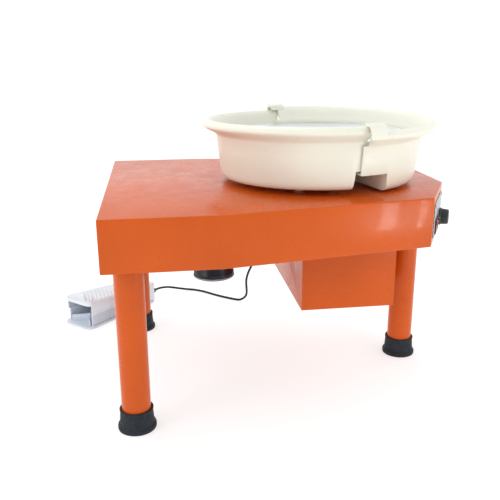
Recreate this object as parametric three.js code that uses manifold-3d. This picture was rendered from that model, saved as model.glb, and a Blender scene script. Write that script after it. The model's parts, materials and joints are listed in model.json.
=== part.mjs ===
// Electric pottery wheel: a folded sheet-metal table on three tube legs, a belt-driven
// wheel head inside a two-piece splash pan, a motor and a control box hung under the
// table, and a foot pedal on a cable. Millimetres, +Z up, standing on z = 0.
import * as THREE from "three";
import { mergeVertices } from "three/addons/utils/BufferGeometryUtils.js";
import Module from "manifold-3d";

const wasm = await Module();
wasm.setup();

// ---- Driving sizes -------------------------------------------------------------
const gap = 0.3; // between pieces that touch
const table = { length: 628, depth: 548, height: 388, skirt: 87, sheet: 2, corner: 4, edge: 2 };
const nose = { straight: 192, taper: 63, chamferX: 72, chamferY: 132 };
const wheelFromLeft = 402; // spindle axis from the table's left end
const leg = { radius: 25, wall: 2, fromLeft: 40, fromSide: 59, fromRight: 33 };
const flange = { radius: 42, thick: 4, spigot: 30, spigotWall: 3 };
const foot = { height: 39, floor: 6, rubber: 3.5, baseFlare: 4.5, baseHeight: 9 };
const head = { radius: 175, thick: 12, aboveTable: 90, grooves: 2, grooveWidth: 2 };
const shaft = { radius: 12.5, below: 79 };
const hub = { radius: 24, flangeRadius: 48, flangeThick: 10, screws: 3, screwCircle: 35, screwRadius: 4 };
const bearing = { radius: 23.5, width: 12 };
const housing = { wall: 7.2, above: 18, below: 46, flange: 17, flangeThick: 6, shoulder: 3.8 };
const drive = { centres: 204.5, bigPitch: 85, smallPitch: 17, beltThick: 4, beltWidth: 16, below: 62 };
const pulley = { flange: 3, flangeThick: 1.5, web: 6, hubRadius: 20 };
const motor = { radius: 40, bottom: 192, boss: 15, shaftRadius: 5, capHeight: 5.5, capProud: 0.8 };
const bracket = { length: 110, inside: 120, sheet: 3, lip: 26, below: 83, bolts: 25, boltHead: 4.5 };
const pan = { wall: 3, clear: 7, floorRadius: 171, collar: 52, collarTop: 48, lap: 7, lapFrom: 130 };
const panSeam = { turn: 11.5, tilt: 1.08, tiltAt: 60, shift: 2.2, edge: 0.5 };
const panTunnel = { top: 40, half: 31, slope: 4, turn: 5 };
const clip = { from: -12, length: 28 };
const box = { fromLeft: 350, width: 179, fromFront: 150, depth: 300, bottom: 227, sheet: 1.5, lip: 16 };
const panel = { width: 122, height: 62, thick: 1.5, middle: 45, margin: 4 };
const knob = { radius: 16, height: 17, along: 38, up: -13, stub: 3 };
const rocker = { width: 12, length: 20, rise: 3, swing: 8, bezel: 2.5, play: 0.8 };
const pedal = { length: 230, width: 90, corner: 18, turn: 47, x: -512.9, y: 235.7 };
const tread = { start: 6, pivot: 186, nearTop: 69, farTop: 50, thick: 5, skirt: 3 };
const treadRib = { count: 13, step: 11.5, width: 4.5, slant: 53 };
const pivot = { height: 38, radius: 3, ear: 6 };
const cable = { radius: 2.75, leadRadius: 2.5 };

const deckTop = table.height;
const deckUnder = table.height - table.sheet;
const skirtBottom = table.height - table.skirt;
const leftEnd = -wheelFromLeft;
const rightEnd = table.length - wheelFromLeft;
const halfDepth = table.depth / 2;

// ---- Solids --------------------------------------------------------------------
function solid(geometry) {
  const bare = geometry.index ? geometry.toNonIndexed() : geometry.clone();
  bare.deleteAttribute("normal");
  bare.deleteAttribute("uv");
  const merged = mergeVertices(bare, 1e-4);
  const all = merged.index.array;
  const corners = [];
  for (let i = 0; i < all.length; i += 3) {
    const [a, b, c] = [all[i], all[i + 1], all[i + 2]];
    if (a !== b && b !== c && c !== a) corners.push(a, b, c);
  }
  return new wasm.Manifold(
    new wasm.Mesh({
      numProp: 3,
      vertProperties: merged.attributes.position.array,
      triVerts: new Uint32Array(corners),
    }),
  );
}

function geometryOf(shape) {
  const mesh = shape.getMesh();
  const points = new Float32Array(mesh.numVert * 3);
  for (let i = 0; i < mesh.numVert; i++) {
    points.set(mesh.vertProperties.subarray(i * mesh.numProp, i * mesh.numProp + 3), i * 3);
  }
  const geometry = new THREE.BufferGeometry();
  geometry.setAttribute("position", new THREE.BufferAttribute(points, 3));
  geometry.setIndex(new THREE.BufferAttribute(new Uint32Array(mesh.triVerts), 1));
  geometry.computeVertexNormals();
  return geometry;
}

const join = (first, ...others) => others.reduce((sum, part) => sum.add(part), first);
const cut = (first, ...others) => others.reduce((rest, tool) => rest.subtract(tool), first);
const moved = (shape, x, y, z) => shape.translate([x, y, z]);
const turned = (shape, degrees) => shape.rotate([0, 0, degrees]);

// A box centred on x and y, standing on z.
function block(width, depth, height, x = 0, y = 0, z = 0) {
  return solid(new THREE.BoxGeometry(width, depth, height).translate(x, y, z + height / 2));
}

// An upright cylinder standing on z.
function rod(radius, height, x = 0, y = 0, z = 0, sides = 20) {
  const upright = new THREE.CylinderGeometry(radius, radius, height, sides).rotateX(Math.PI / 2);
  return solid(upright.translate(x, y, z + height / 2));
}

// A body turned about the Z axis from a closed outline of [radius, z] points.
function lathe(outline, sides = 24) {
  let area = 0;
  outline.forEach(([r, z], i) => {
    const [nextR, nextZ] = outline[(i + 1) % outline.length];
    area += r * nextZ - nextR * z;
  });
  const ordered = area > 0 ? outline : [...outline].reverse();
  const profile = [...ordered, ordered[0]].map(([r, z]) => new THREE.Vector2(r, z));
  return solid(new THREE.LatheGeometry(profile, sides).rotateX(Math.PI / 2));
}

// A flat outline in X and Y, thickened upwards from z.
function plate(shape, height, z = 0, bevel = 0, curveSegments = 12) {
  const geometry = new THREE.ExtrudeGeometry(shape, {
    depth: height - 2 * bevel,
    curveSegments,
    bevelEnabled: bevel > 0,
    bevelThickness: bevel,
    bevelSize: bevel,
    bevelOffset: -bevel,
    bevelSegments: 2,
  });
  return solid(geometry.translate(0, 0, z + bevel));
}

// An outline in X and Z, thickened along Y from y.
function sidePlate(points, thickness, y) {
  const shape = new THREE.Shape(points.map(([x, z]) => new THREE.Vector2(x, z)));
  const geometry = new THREE.ExtrudeGeometry(shape, { depth: thickness, bevelEnabled: false });
  return solid(geometry.rotateX(Math.PI / 2).translate(0, y + thickness, 0));
}

function roundedOutline(points, radius, segments = 4) {
  const shape = new THREE.Shape();
  const count = points.length;
  points.forEach(([x, y], i) => {
    const here = new THREE.Vector2(x, y);
    const before = new THREE.Vector2(...points[(i + count - 1) % count]).sub(here);
    const after = new THREE.Vector2(...points[(i + 1) % count]).sub(here);
    const half = before.angleTo(after) / 2;
    const reach = Math.min(radius / Math.tan(half), before.length() / 2, after.length() / 2);
    const start = here.clone().addScaledVector(before.normalize(), reach);
    const end = here.clone().addScaledVector(after.normalize(), reach);
    const r = reach * Math.tan(half);
    const toCentre = before.clone().add(after).normalize();
    const centre = here.clone().addScaledVector(toCentre, r / Math.sin(half));
    const from = start.clone().sub(centre).angle();
    let sweep = end.clone().sub(centre).angle() - from;
    if (sweep > Math.PI) sweep -= 2 * Math.PI;
    if (sweep < -Math.PI) sweep += 2 * Math.PI;
    for (let k = 0; k <= segments; k++) {
      const angle = from + (sweep * k) / segments;
      const x1 = centre.x + r * Math.cos(angle);
      const y1 = centre.y + r * Math.sin(angle);
      if (i === 0 && k === 0) shape.moveTo(x1, y1);
      else shape.lineTo(x1, y1);
    }
  });
  shape.closePath();
  return shape;
}

const rectangle = (width, depth, x = 0, y = 0) => [
  [x - width / 2, y - depth / 2],
  [x + width / 2, y - depth / 2],
  [x + width / 2, y + depth / 2],
  [x - width / 2, y + depth / 2],
];

// ---- Scene ---------------------------------------------------------------------
const potteryWheel = new THREE.Group();

function finish(color, roughness, metalness) {
  return { color, roughness, metalness };
}
const finishes = {
  orangePaint: finish(0xe0591e, 0.25, 0.1),
  blackRubber: finish(0x1c2129, 0.8, 0),
  turnedAluminium: finish(0xc9d2dc, 0.35, 0.9),
  ivoryPlastic: finish(0xece9cf, 0.4, 0),
  blackPaint: finish(0x14161c, 0.4, 0.3),
  greyMetal: finish(0x82878a, 0.4, 0.7),
  steel: finish(0xa9adb0, 0.35, 0.9),
  greyPlastic: finish(0xdfe3ea, 0.5, 0),
  paleGreyPlastic: finish(0xc3cbd8, 0.5, 0),
  blackPlastic: finish(0x17181b, 0.45, 0),
  redPlastic: finish(0xb3221d, 0.35, 0),
  greenBoard: finish(0x1f5a37, 0.5, 0),
};

function add(name, shape, look, parent = potteryWheel) {
  const mesh = new THREE.Mesh(geometryOf(shape), new THREE.MeshStandardMaterial(finishes[look]));
  mesh.name = name;
  parent.add(mesh);
  return mesh;
}

// ---- Table ---------------------------------------------------------------------
const chamferStart = [rightEnd - nose.chamferX, halfDepth - nose.taper];
const chamferEnd = [rightEnd, halfDepth - nose.taper - nose.chamferY];
const tableCorners = [
  [leftEnd, -halfDepth],
  [leftEnd + nose.straight, -halfDepth],
  [chamferStart[0], -chamferStart[1]],
  [chamferEnd[0], -chamferEnd[1]],
  chamferEnd,
  chamferStart,
  [leftEnd + nose.straight, halfDepth],
  [leftEnd, halfDepth],
];

// The outline moved inwards by one sheet: each edge keeps its direction.
function inset(points, distance) {
  const count = points.length;
  const edges = points.map(([x, y], i) => {
    const [nx, ny] = points[(i + 1) % count];
    const along = new THREE.Vector2(nx - x, ny - y).normalize();
    const inward = new THREE.Vector2(-along.y, along.x).multiplyScalar(distance);
    return { x: x + inward.x, y: y + inward.y, along };
  });
  return edges.map((edge, i) => {
    const last = edges[(i + count - 1) % count];
    const cross = last.along.x * edge.along.y - last.along.y * edge.along.x;
    const t = ((edge.x - last.x) * edge.along.y - (edge.y - last.y) * edge.along.x) / cross;
    return [last.x + last.along.x * t, last.y + last.along.y * t];
  });
}

const faceAlong = new THREE.Vector2(nose.chamferX, nose.chamferY).normalize();
const panelFrame = new THREE.Matrix4().makeBasis(
  new THREE.Vector3(faceAlong.x, faceAlong.y, 0),
  new THREE.Vector3(0, 0, 1),
  new THREE.Vector3(faceAlong.y, -faceAlong.x, 0),
);
panelFrame.setPosition(
  (chamferStart[0] + chamferEnd[0]) / 2,
  -(chamferStart[1] + chamferEnd[1]) / 2,
  table.height - panel.middle,
);

const boreInDeck = bearing.radius + gap + housing.wall + gap;
const panelWindow = block(panel.width - 2 * panel.margin, panel.height - 2 * panel.margin, 20, 0, 0, -10);
const tableOuter = plate(
  roundedOutline(tableCorners, table.corner),
  table.skirt + 2 * table.edge,
  skirtBottom - 2 * table.edge,
  table.edge,
);
const tableInner = plate(
  roundedOutline(inset(tableCorners, table.sheet), table.corner - table.sheet),
  table.skirt - table.sheet + 10,
  skirtBottom - 10,
);
const belowSkirt = block(2 * table.length, 2 * table.depth, 50, 0, 0, skirtBottom - 50);
add(
  "table_shell",
  cut(
    tableOuter,
    tableInner,
    belowSkirt,
    rod(boreInDeck, 20, 0, 0, deckTop - 10, 40),
    panelWindow.transform(panelFrame.elements),
  ),
  "orangePaint",
);

// ---- Legs, flanges and feet ------------------------------------------------------
const legPlaces = {
  front_left: [leftEnd + leg.fromLeft, -halfDepth + leg.fromSide, leg.fromLeft],
  back_left: [leftEnd + leg.fromLeft, halfDepth - leg.fromSide, leg.fromLeft],
  right: [rightEnd - leg.fromRight, 0, leg.fromRight],
};
const legTop = deckUnder - gap - flange.thick - gap;
const legBottom = foot.floor + gap;
const legInner = leg.radius - leg.wall;
const cupInner = leg.radius + gap;
const cupOuter = cupInner + foot.rubber;
for (const [place, [x, y, toSkirt]] of Object.entries(legPlaces)) {
  const tube = cut(
    rod(leg.radius, legTop - legBottom, x, y, legBottom),
    rod(legInner, table.height, x, y, 0),
  );
  add("leg_" + place, tube, "orangePaint");

  const spigot = cut(
    rod(legInner - gap, flange.spigot + flange.thick, 0, 0, legTop + gap - flange.spigot),
    rod(legInner - gap - flange.spigotWall, flange.spigot, 0, 0, legTop + gap - flange.spigot - 1),
  );
  const flangeRadius = Math.min(flange.radius, toSkirt - table.sheet - 1);
  const flangePlate = rod(flangeRadius, flange.thick, 0, 0, legTop + gap);
  add("leg_flange_" + place, moved(join(spigot, flangePlate), x, y, 0), "greyMetal");

  const cup = lathe([
    [0, 0],
    [cupOuter + foot.baseFlare - 1, 0],
    [cupOuter + foot.baseFlare, 2],
    [cupOuter + foot.baseFlare, foot.baseHeight - 2],
    [cupOuter + 1.5, foot.baseHeight],
    [cupOuter + 1.2, foot.baseHeight + 2],
    [cupOuter - 0.3, foot.height - 4],
    [cupOuter + 0.2, foot.height - 2],
    [cupOuter - 0.6, foot.height],
    [cupInner, foot.height],
    [cupInner, foot.floor],
    [0, foot.floor],
  ]);
  add("foot_" + place, moved(cup, x, y, 0), "blackRubber");
}

// ---- Spindle, bearings and wheel head --------------------------------------------
const headTop = deckTop + head.aboveTable;
const headUnder = headTop - head.thick;
const housingBore = bearing.radius + gap;
const housingRadius = housingBore + housing.wall;
const boreUpper = housing.above - bearing.width - 2;
const boreLower = -housing.below + bearing.width + 2;
const shoulderRadius = housingBore - housing.shoulder;
const housingOutline = [
  [housingRadius, housing.above],
  [housingRadius, -table.sheet - gap],
  [housingRadius + housing.flange, -table.sheet - gap],
  [housingRadius + housing.flange, -table.sheet - gap - housing.flangeThick],
  [housingRadius, -table.sheet - gap - housing.flangeThick],
  [housingRadius, -housing.below],
  [housingBore, -housing.below],
  [housingBore, boreLower],
  [shoulderRadius, boreLower],
  [shoulderRadius, boreUpper],
  [housingBore, boreUpper],
  [housingBore, housing.above],
];
add("bearing_housing", moved(lathe(housingOutline), 0, 0, deckTop), "greyMetal");

const bearingRing = cut(
  rod(bearing.radius, bearing.width, 0, 0, 0),
  rod(shaft.radius + gap, 40, 0, 0, -10),
  cut(rod(bearing.radius - 3.5, 4, 0, 0, bearing.width - 1), rod(shaft.radius + 3.5, 6, 0, 0, 0)),
  cut(rod(bearing.radius - 3.5, 4, 0, 0, -3), rod(shaft.radius + 3.5, 6, 0, 0, -4)),
);
add("bearing_upper", moved(bearingRing, 0, 0, deckTop + boreUpper + gap), "steel");
add("bearing_lower", moved(bearingRing, 0, 0, deckTop + boreLower - gap - bearing.width), "steel");

const shaftTop = headUnder - 1;
const shaftBottom = deckTop - shaft.below;
add("spindle_shaft", rod(shaft.radius, shaftTop - shaftBottom, 0, 0, shaftBottom), "steel");

const hubTop = headUnder - gap;
const hubBottom = deckTop + housing.above + 2;
const hubBore = shaft.radius + gap;
const screwHoleRadius = hub.screwRadius + gap;
const aroundHub = Array.from({ length: hub.screws }, (_, i) => {
  const angle = (i * 2 * Math.PI) / hub.screws + Math.PI / 6;
  return [hub.screwCircle * Math.cos(angle), hub.screwCircle * Math.sin(angle)];
});
const screwTools = aroundHub.map(([x, y]) => rod(screwHoleRadius, 60, x, y, headUnder - 30, 16));
const hubBody = lathe([
  [hubBore, hubBottom],
  [hub.radius, hubBottom],
  [hub.radius, hubTop - hub.flangeThick - 8],
  [hub.radius + 8, hubTop - hub.flangeThick],
  [hub.flangeRadius, hubTop - hub.flangeThick + 2],
  [hub.flangeRadius, hubTop],
  [hubBore, hubTop],
]);
add("wheel_hub", cut(hubBody, ...screwTools), "turnedAluminium");

const headSides = 40;
const screwSeat = 4;
const seatRadius = hub.screwRadius + 4;
const headOutline = [
  [0, 0],
  [hub.flangeRadius + 14, 0],
  [hub.flangeRadius + 18, 3],
  [head.radius - 16, 3],
  [head.radius - 12, 0],
  [head.radius - 5, 0],
  [head.radius, 2],
  [head.radius, head.thick - 2],
  [head.radius - 1.5, head.thick],
  [0, head.thick],
];
const grooveCuts = Array.from({ length: head.grooves }, (_, i) => {
  const middle = (head.radius * (i + 1.2)) / (head.grooves + 0.8);
  const half = head.grooveWidth / 2;
  return lathe(
    [
      [middle - half, head.thick + 1],
      [middle - half, head.thick - 0.8],
      [middle + half, head.thick - 0.8],
      [middle + half, head.thick + 1],
    ],
    headSides,
  );
});
const seats = aroundHub.map(([x, y]) => rod(seatRadius, 20, x, y, headTop - screwSeat, 20));
add(
  "wheel_head",
  cut(moved(cut(lathe(headOutline, headSides), ...grooveCuts), 0, 0, headUnder), ...screwTools, ...seats),
  "turnedAluminium",
);
aroundHub.forEach(([x, y], i) => {
  const top = headTop - screwSeat + gap;
  const screw = join(
    rod(seatRadius - gap, screwSeat - 1, x, y, top, 20),
    rod(hub.screwRadius, 22, x, y, top - 21.5, 16),
  );
  const socket = rod(2.2, 2, x, y, top + screwSeat - 2.5, 6);
  add("head_screw_" + (i + 1), cut(screw, socket), "steel");
});

// ---- Belt drive --------------------------------------------------------------------
const beltMiddle = deckTop - drive.below;
const beltInside = drive.beltThick / 2;
function grooved(pitch, boreRadius, webbed) {
  const face = pitch - beltInside - gap;
  const halfBelt = drive.beltWidth / 2 + gap;
  const halfAll = halfBelt + pulley.flangeThick;
  const outline = [
    [boreRadius, -halfAll],
    [face + pulley.flange, -halfAll],
    [face + pulley.flange, -halfBelt],
    [face, -halfBelt],
    [face, halfBelt],
    [face + pulley.flange, halfBelt],
    [face + pulley.flange, halfAll],
    [boreRadius, halfAll],
  ];
  const wheel = lathe(outline, webbed ? 32 : 20);
  if (!webbed) return wheel;
  const ring = [
    [pulley.hubRadius, pulley.web / 2],
    [face - 6, pulley.web / 2],
    [face - 6, halfAll + 1],
    [pulley.hubRadius, halfAll + 1],
  ];
  const lower = ring.map(([r, z]) => [r, -z]);
  return cut(wheel, lathe(ring, 32), lathe(lower, 32));
}
add("drive_pulley", moved(grooved(drive.bigPitch, shaft.radius + gap, true), 0, 0, beltMiddle), "greyMetal");

const nutHeight = 5.5;
const nut = cut(rod(19, nutHeight, 0, 0, 0, 6), rod(shaft.radius + gap, 20, 0, 0, -5));
const pulleyHalf = drive.beltWidth / 2 + gap + pulley.flangeThick;
add("spindle_nut", moved(nut, 0, 0, beltMiddle - pulleyHalf - gap - nutHeight), "steel");

const motorX = -drive.centres;
const motorPulley = grooved(drive.smallPitch, motor.shaftRadius + gap, false);
add("motor_pulley", moved(motorPulley, motorX, 0, beltMiddle), "greyMetal");

function beltOutline(offset) {
  const lean = Math.acos(-(drive.bigPitch - drive.smallPitch) / drive.centres);
  const loop = new THREE.Path();
  loop.absarc(0, 0, drive.bigPitch + offset, -lean, lean, false);
  loop.absarc(motorX, 0, drive.smallPitch + offset, lean, 2 * Math.PI - lean, false);
  loop.closePath();
  return loop;
}
const beltShape = new THREE.Shape(beltOutline(beltInside).getPoints(14));
beltShape.holes.push(new THREE.Path(beltOutline(-beltInside).getPoints(14)));
add("drive_belt", plate(beltShape, drive.beltWidth, beltMiddle - drive.beltWidth / 2), "blackRubber");

// ---- Motor -------------------------------------------------------------------------
const plateTop = deckTop - bracket.below + bracket.sheet;
const plateBottom = deckTop - bracket.below;
const webOut = bracket.inside / 2 + bracket.sheet;
const lipTop = deckUnder - gap;
const hat = [
  [-webOut - bracket.lip, lipTop],
  [-webOut + bracket.sheet, lipTop],
  [-webOut + bracket.sheet, plateTop],
  [webOut - bracket.sheet, plateTop],
  [webOut - bracket.sheet, lipTop],
  [webOut + bracket.lip, lipTop],
  [webOut + bracket.lip, lipTop - bracket.sheet],
  [webOut, lipTop - bracket.sheet],
  [webOut, plateBottom],
  [-webOut, plateBottom],
  [-webOut, lipTop - bracket.sheet],
  [-webOut - bracket.lip, lipTop - bracket.sheet],
];
const boltPlaces = rectangle(2 * bracket.bolts, 2 * bracket.bolts).map(([x, y]) => [
  motorX + x / Math.SQRT2,
  y / Math.SQRT2,
]);
const hatBody = turned(sidePlate(hat, bracket.length, -bracket.length / 2), 90);
add(
  "motor_bracket",
  cut(
    moved(hatBody, motorX, 0, 0),
    rod(motor.boss + 1, 20, motorX, 0, plateBottom - 5),
    ...boltPlaces.map(([x, y]) => rod(3, 20, x, y, plateBottom - 5, 12)),
  ),
  "blackPaint",
);
boltPlaces.forEach(([x, y], i) => {
  const bolt = cut(
    rod(bracket.boltHead, 4, x, y, plateTop + gap, 20),
    rod(2, 3, x, y, plateTop + 2.5, 6),
  );
  add("motor_bolt_" + (i + 1), bolt, "steel");
});

const motorBottom = deckTop - motor.bottom;
const motorTop = plateBottom - gap;
const capTop = motorBottom + motor.capHeight;
const motorOutline = [
  [0, capTop + gap],
  [motor.radius, capTop + gap],
  [motor.radius, capTop + 6],
  [motor.radius - 0.8, capTop + 7],
  [motor.radius - 0.8, motorTop - 9],
  [motor.radius, motorTop - 8],
  [motor.radius, motorTop - 1],
  [motor.radius - 1, motorTop],
  [motor.boss, motorTop],
  [motor.boss, motorTop + 4],
  [0, motorTop + 4],
];
const leadHeight = 168;
const leadStart = motorX + motor.radius;
const leadBoss = solid(
  new THREE.CylinderGeometry(5, 6, 6, 20).rotateZ(-Math.PI / 2).translate(leadStart + 1, 0, 0),
);
add(
  "motor_body",
  join(
    moved(lathe(motorOutline), motorX, 0, 0),
    moved(leadBoss, 0, 0, deckTop - leadHeight),
  ),
  "blackPaint",
);
const capOutline = [
  [0, motorBottom],
  [motor.radius - 3, motorBottom],
  [motor.radius + motor.capProud, motorBottom + 1.5],
  [motor.radius + motor.capProud, capTop],
  [0, capTop],
];
add("motor_end_cap", moved(lathe(capOutline), motorX, 0, 0), "greyMetal");
const rotorBottom = motorTop + 4 + gap;
add(
  "motor_shaft",
  rod(motor.shaftRadius, beltMiddle + pulleyHalf + 2 - rotorBottom, motorX, 0, rotorBottom, 20),
  "steel",
);

// ---- Splash pan ----------------------------------------------------------------------
// Outside of the pan from the collar outwards, and its inside one wall thickness away.
const floorZ = pan.clear;
const panRise = 81; // height of the wall from the floor to where the rim flares out
const wallLean = 7; // how much wider the wall is at the top
const bottomRound = 15;
const wallFoot = pan.floorRadius + bottomRound;
const wallHead = wallFoot + wallLean;
const wallTopZ = floorZ + panRise;
const panOutside = [
  [wallFoot - bottomRound, floorZ],
  [wallFoot - 0.5 * bottomRound, floorZ + 0.13 * bottomRound],
  [wallFoot - 0.13 * bottomRound, floorZ + 0.5 * bottomRound],
  [wallFoot, floorZ + bottomRound],
  [wallHead, wallTopZ],
  [wallHead + 3, wallTopZ + 4],
  [wallHead + 12, wallTopZ + 9.5],
  [wallHead + 24, wallTopZ + 16],
  [wallHead + 26, wallTopZ + 19],
  [wallHead + 25, wallTopZ + 23],
  [wallHead + 21, wallTopZ + 27.5],
  [wallHead + 16.5, wallTopZ + 29.5],
];
const panInside = [
  [wallHead + 12.5, wallTopZ + 28.5],
  [wallHead + 8.5, wallTopZ + 22],
  [wallHead + 3.5, wallTopZ + 11],
  [wallHead - pan.wall - 0.5, wallTopZ],
  [wallFoot - pan.wall, floorZ + bottomRound + pan.wall],
  [wallFoot - 0.35 * bottomRound - pan.wall, floorZ + 0.35 * bottomRound + pan.wall],
  [wallFoot - bottomRound - pan.wall, floorZ + pan.wall],
];
const panSides = 48;
const panSolid = lathe(
  [...panOutside, [pan.collar, wallTopZ + 29.5], [pan.collar, floorZ]],
  panSides,
);
const aboveRim = wallTopZ + 60;
const panHollow = lathe(
  [
    ...panInside,
    [pan.collar + pan.wall, floorZ + pan.wall],
    [pan.collar + pan.wall, pan.collarTop],
    [pan.collar - 10, pan.collarTop],
    [pan.collar - 10, aboveRim],
    [wallHead + 12.5, aboveRim],
  ],
  panSides,
);
// The raised bridge under the seam, between the troughs of the two halves.
function bridge(grow) {
  const half = panTunnel.half + grow;
  const top = panTunnel.top + grow;
  const section = [
    [-half - panTunnel.slope, floorZ - 20],
    [half + panTunnel.slope, floorZ - 20],
    [half, top],
    [-half, top],
  ];
  return turned(sidePlate(section, 2 * (wallHead + 60), -(wallHead + 60)), panTunnel.turn);
}
const outsideCollar = rod(pan.collar - 1, 200, 0, 0, -50, 48);
const panShell = cut(cut(panSolid, bridge(0)), cut(panHollow, bridge(pan.wall)), outsideCollar);

// The hook at the front end of a half, which reaches over the other half's rim.
const hookOutline = [
  [wallHead + 9, wallTopZ + 23],
  [wallHead + 12, wallTopZ + 32],
  [wallHead + 20, wallTopZ + 35],
  [wallHead + 30, wallTopZ + 33],
  [wallHead + 37, wallTopZ + 26],
  [wallHead + 38.5, wallTopZ + 10],
  [wallHead + 35.5, wallTopZ + 9],
  [wallHead + 35, wallTopZ + 17],
  [wallHead + 33, wallTopZ + 23],
  [wallHead + 27, wallTopZ + 29],
  [wallHead + 18, wallTopZ + 29],
  [wallHead + 12, wallTopZ + 27],
];
const hookSlab = block(clip.length, 400, 400, clip.from + clip.length / 2, -200, -100);
const hook = lathe(hookOutline, panSides).intersect(hookSlab);
const halfReach = 400;
const ownSide = block(halfReach, 2 * halfReach, halfReach, -halfReach / 2 - panSeam.edge, 0, -100);
const lapDepth = halfReach - pan.lapFrom;
const laps = [-1, 1].map((side) =>
  block(pan.lap + 20, lapDepth, wallTopZ, (pan.lap - 20) / 2, side * (pan.lapFrom + lapDepth / 2), -2),
);
const padHeight = pan.clear + 6;
const underPads = block(1000, 1000, 50, 0, 0, gap - 50);
const padPlaces = [
  [-125, 0],
  [-78, -98],
  [-78, 98],
];
const pads = padPlaces.map(([x, y]) => rod(9, padHeight, x, y, floorZ + 1 - padHeight, 16));
const trimmedHalf = panShell.intersect(join(ownSide, ...laps));
const leaning = join(trimmedHalf, hook, ...pads)
  .translate([0, 0, -panSeam.tiltAt])
  .rotate([-panSeam.tilt, 0, 0])
  .translate([0, panSeam.shift, panSeam.tiltAt]);
const halfPan = cut(leaning, underPads);
const panGroup = new THREE.Group();
panGroup.position.z = deckTop;
panGroup.rotation.z = THREE.MathUtils.degToRad(panSeam.turn);
potteryWheel.add(panGroup);
add("pan_left", halfPan, "ivoryPlastic", panGroup);
add("pan_right", turned(halfPan, 180), "ivoryPlastic", panGroup);

// ---- Control box ---------------------------------------------------------------------
const boxLeft = leftEnd + box.fromLeft;
const boxX = boxLeft + box.width / 2;
const boxFront = -halfDepth + box.fromFront;
const boxY = boxFront + box.depth / 2;
const boxBack = boxFront + box.depth;
const boxBottom = deckTop - box.bottom;
const lidTop = shaftBottom - 4;
const boxSideTop = lidTop - box.sheet - gap;
const wallTop = deckUnder - gap;
const t = box.sheet;
const tray = cut(
  block(box.width, box.depth, boxSideTop - boxBottom, boxX, boxY, boxBottom),
  block(box.width - 2 * t, box.depth - 2 * t, boxSideTop, boxX, boxY, boxBottom + t),
);
const hangers = [boxFront + t / 2, boxBack - t / 2].map((y, i) => {
  const wall = block(box.width, t, wallTop - boxSideTop + 5, boxX, y, boxSideTop - 5);
  const lipY = i === 0 ? boxFront + box.lip / 2 : boxBack - box.lip / 2;
  return join(wall, block(box.width, box.lip, t, boxX, lipY, wallTop - t));
});
const glandHeight = 150;
const cableGlandX = leftEnd + 373;
const inletX = leftEnd + 480;
const leadEntryHeight = 105;
const inlet = { width: 27, height: 20, deep: 22, face: 3 };
const glandHole = rod(4.5, 20, 0, 0, -10, 20);
const inletHole = block(inlet.width + 2 * gap, 20, inlet.height + 2 * gap, inletX, boxBack);
add(
  "control_box",
  cut(
    join(tray, ...hangers),
    glandHole.rotate([90, 0, 0]).translate([cableGlandX, boxBack, deckTop - glandHeight]),
    moved(inletHole, 0, 0, deckTop - glandHeight - inlet.height / 2 - gap),
    glandHole.rotate([0, 90, 0]).translate([boxLeft, 0, deckTop - leadEntryHeight]),
  ),
  "orangePaint",
);
const lidInside = 0.5;
add(
  "control_box_lid",
  block(box.width, box.depth - 2 * t - 2 * lidInside, t, boxX, boxY, lidTop - t),
  "orangePaint",
);

const boardWidth = 110;
const boardFloor = boxBottom + t + gap;
const fins = Array.from({ length: 5 }, (_, i) => block(3, 90, 26, -32 + i * 16, 0, 4));
add(
  "controller_heatsink",
  moved(join(block(72, 90, 5), ...fins), boxX - 35, boxY - 40, boardFloor),
  "turnedAluminium",
);
add(
  "controller_board",
  join(
    block(boardWidth, 90, 2, boxX, boxY + 80, boardFloor + 8),
    ...rectangle(boardWidth - 14, 76, boxX, boxY + 80).map(([x, y]) => rod(3, 9, x, y, boardFloor, 12)),
    block(34, 26, 22, boxX - 25, boxY + 80, boardFloor + 9),
    rod(11, 32, boxX + 30, boxY + 92, boardFloor + 9, 20),
    rod(8, 24, boxX + 30, boxY + 62, boardFloor + 9, 20),
  ),
  "greenBoard",
);

// Glands and the power inlet: bodies through the wall, with a face outside it.
const glandLength = 12;
const glandOutline = (bore) => [
  [bore, -8],
  [4.2, -8],
  [4.2, gap],
  [8, gap],
  [8, 4],
  [6.4, 6],
  [5.4, glandLength],
  [bore, glandLength],
];
const cableGland = lathe(glandOutline(cable.radius + gap), 16);
const leadGland = lathe(glandOutline(cable.leadRadius + gap), 16);
add(
  "box_cable_gland",
  cableGland.rotate([-90, 0, 0]).translate([cableGlandX, boxBack, deckTop - glandHeight]),
  "blackPlastic",
);
add(
  "box_lead_gland",
  leadGland.rotate([0, -90, 0]).translate([boxLeft, 0, deckTop - leadEntryHeight]),
  "blackPlastic",
);
const inletBody = cut(
  join(
    block(inlet.width, inlet.height, inlet.deep),
    block(inlet.width + 14, inlet.height + 6, inlet.face, 0, 0, inlet.deep + gap),
    block(inlet.width - 2, inlet.height - 2, 2, 0, 0, inlet.deep - 1),
  ),
  block(inlet.width - 5, inlet.height - 5, inlet.deep, 0, 0, 8),
);
const inletPins = [-7, 0, 7].map((x) => block(2, 5, 14, x, x === 0 ? 3 : -2, 6));
add(
  "power_inlet",
  join(inletBody, ...inletPins)
    .translate([0, 0, -inlet.deep])
    .rotate([-90, 0, 0])
    .translate([inletX, boxBack, deckTop - glandHeight]),
  "blackPlastic",
);

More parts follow.
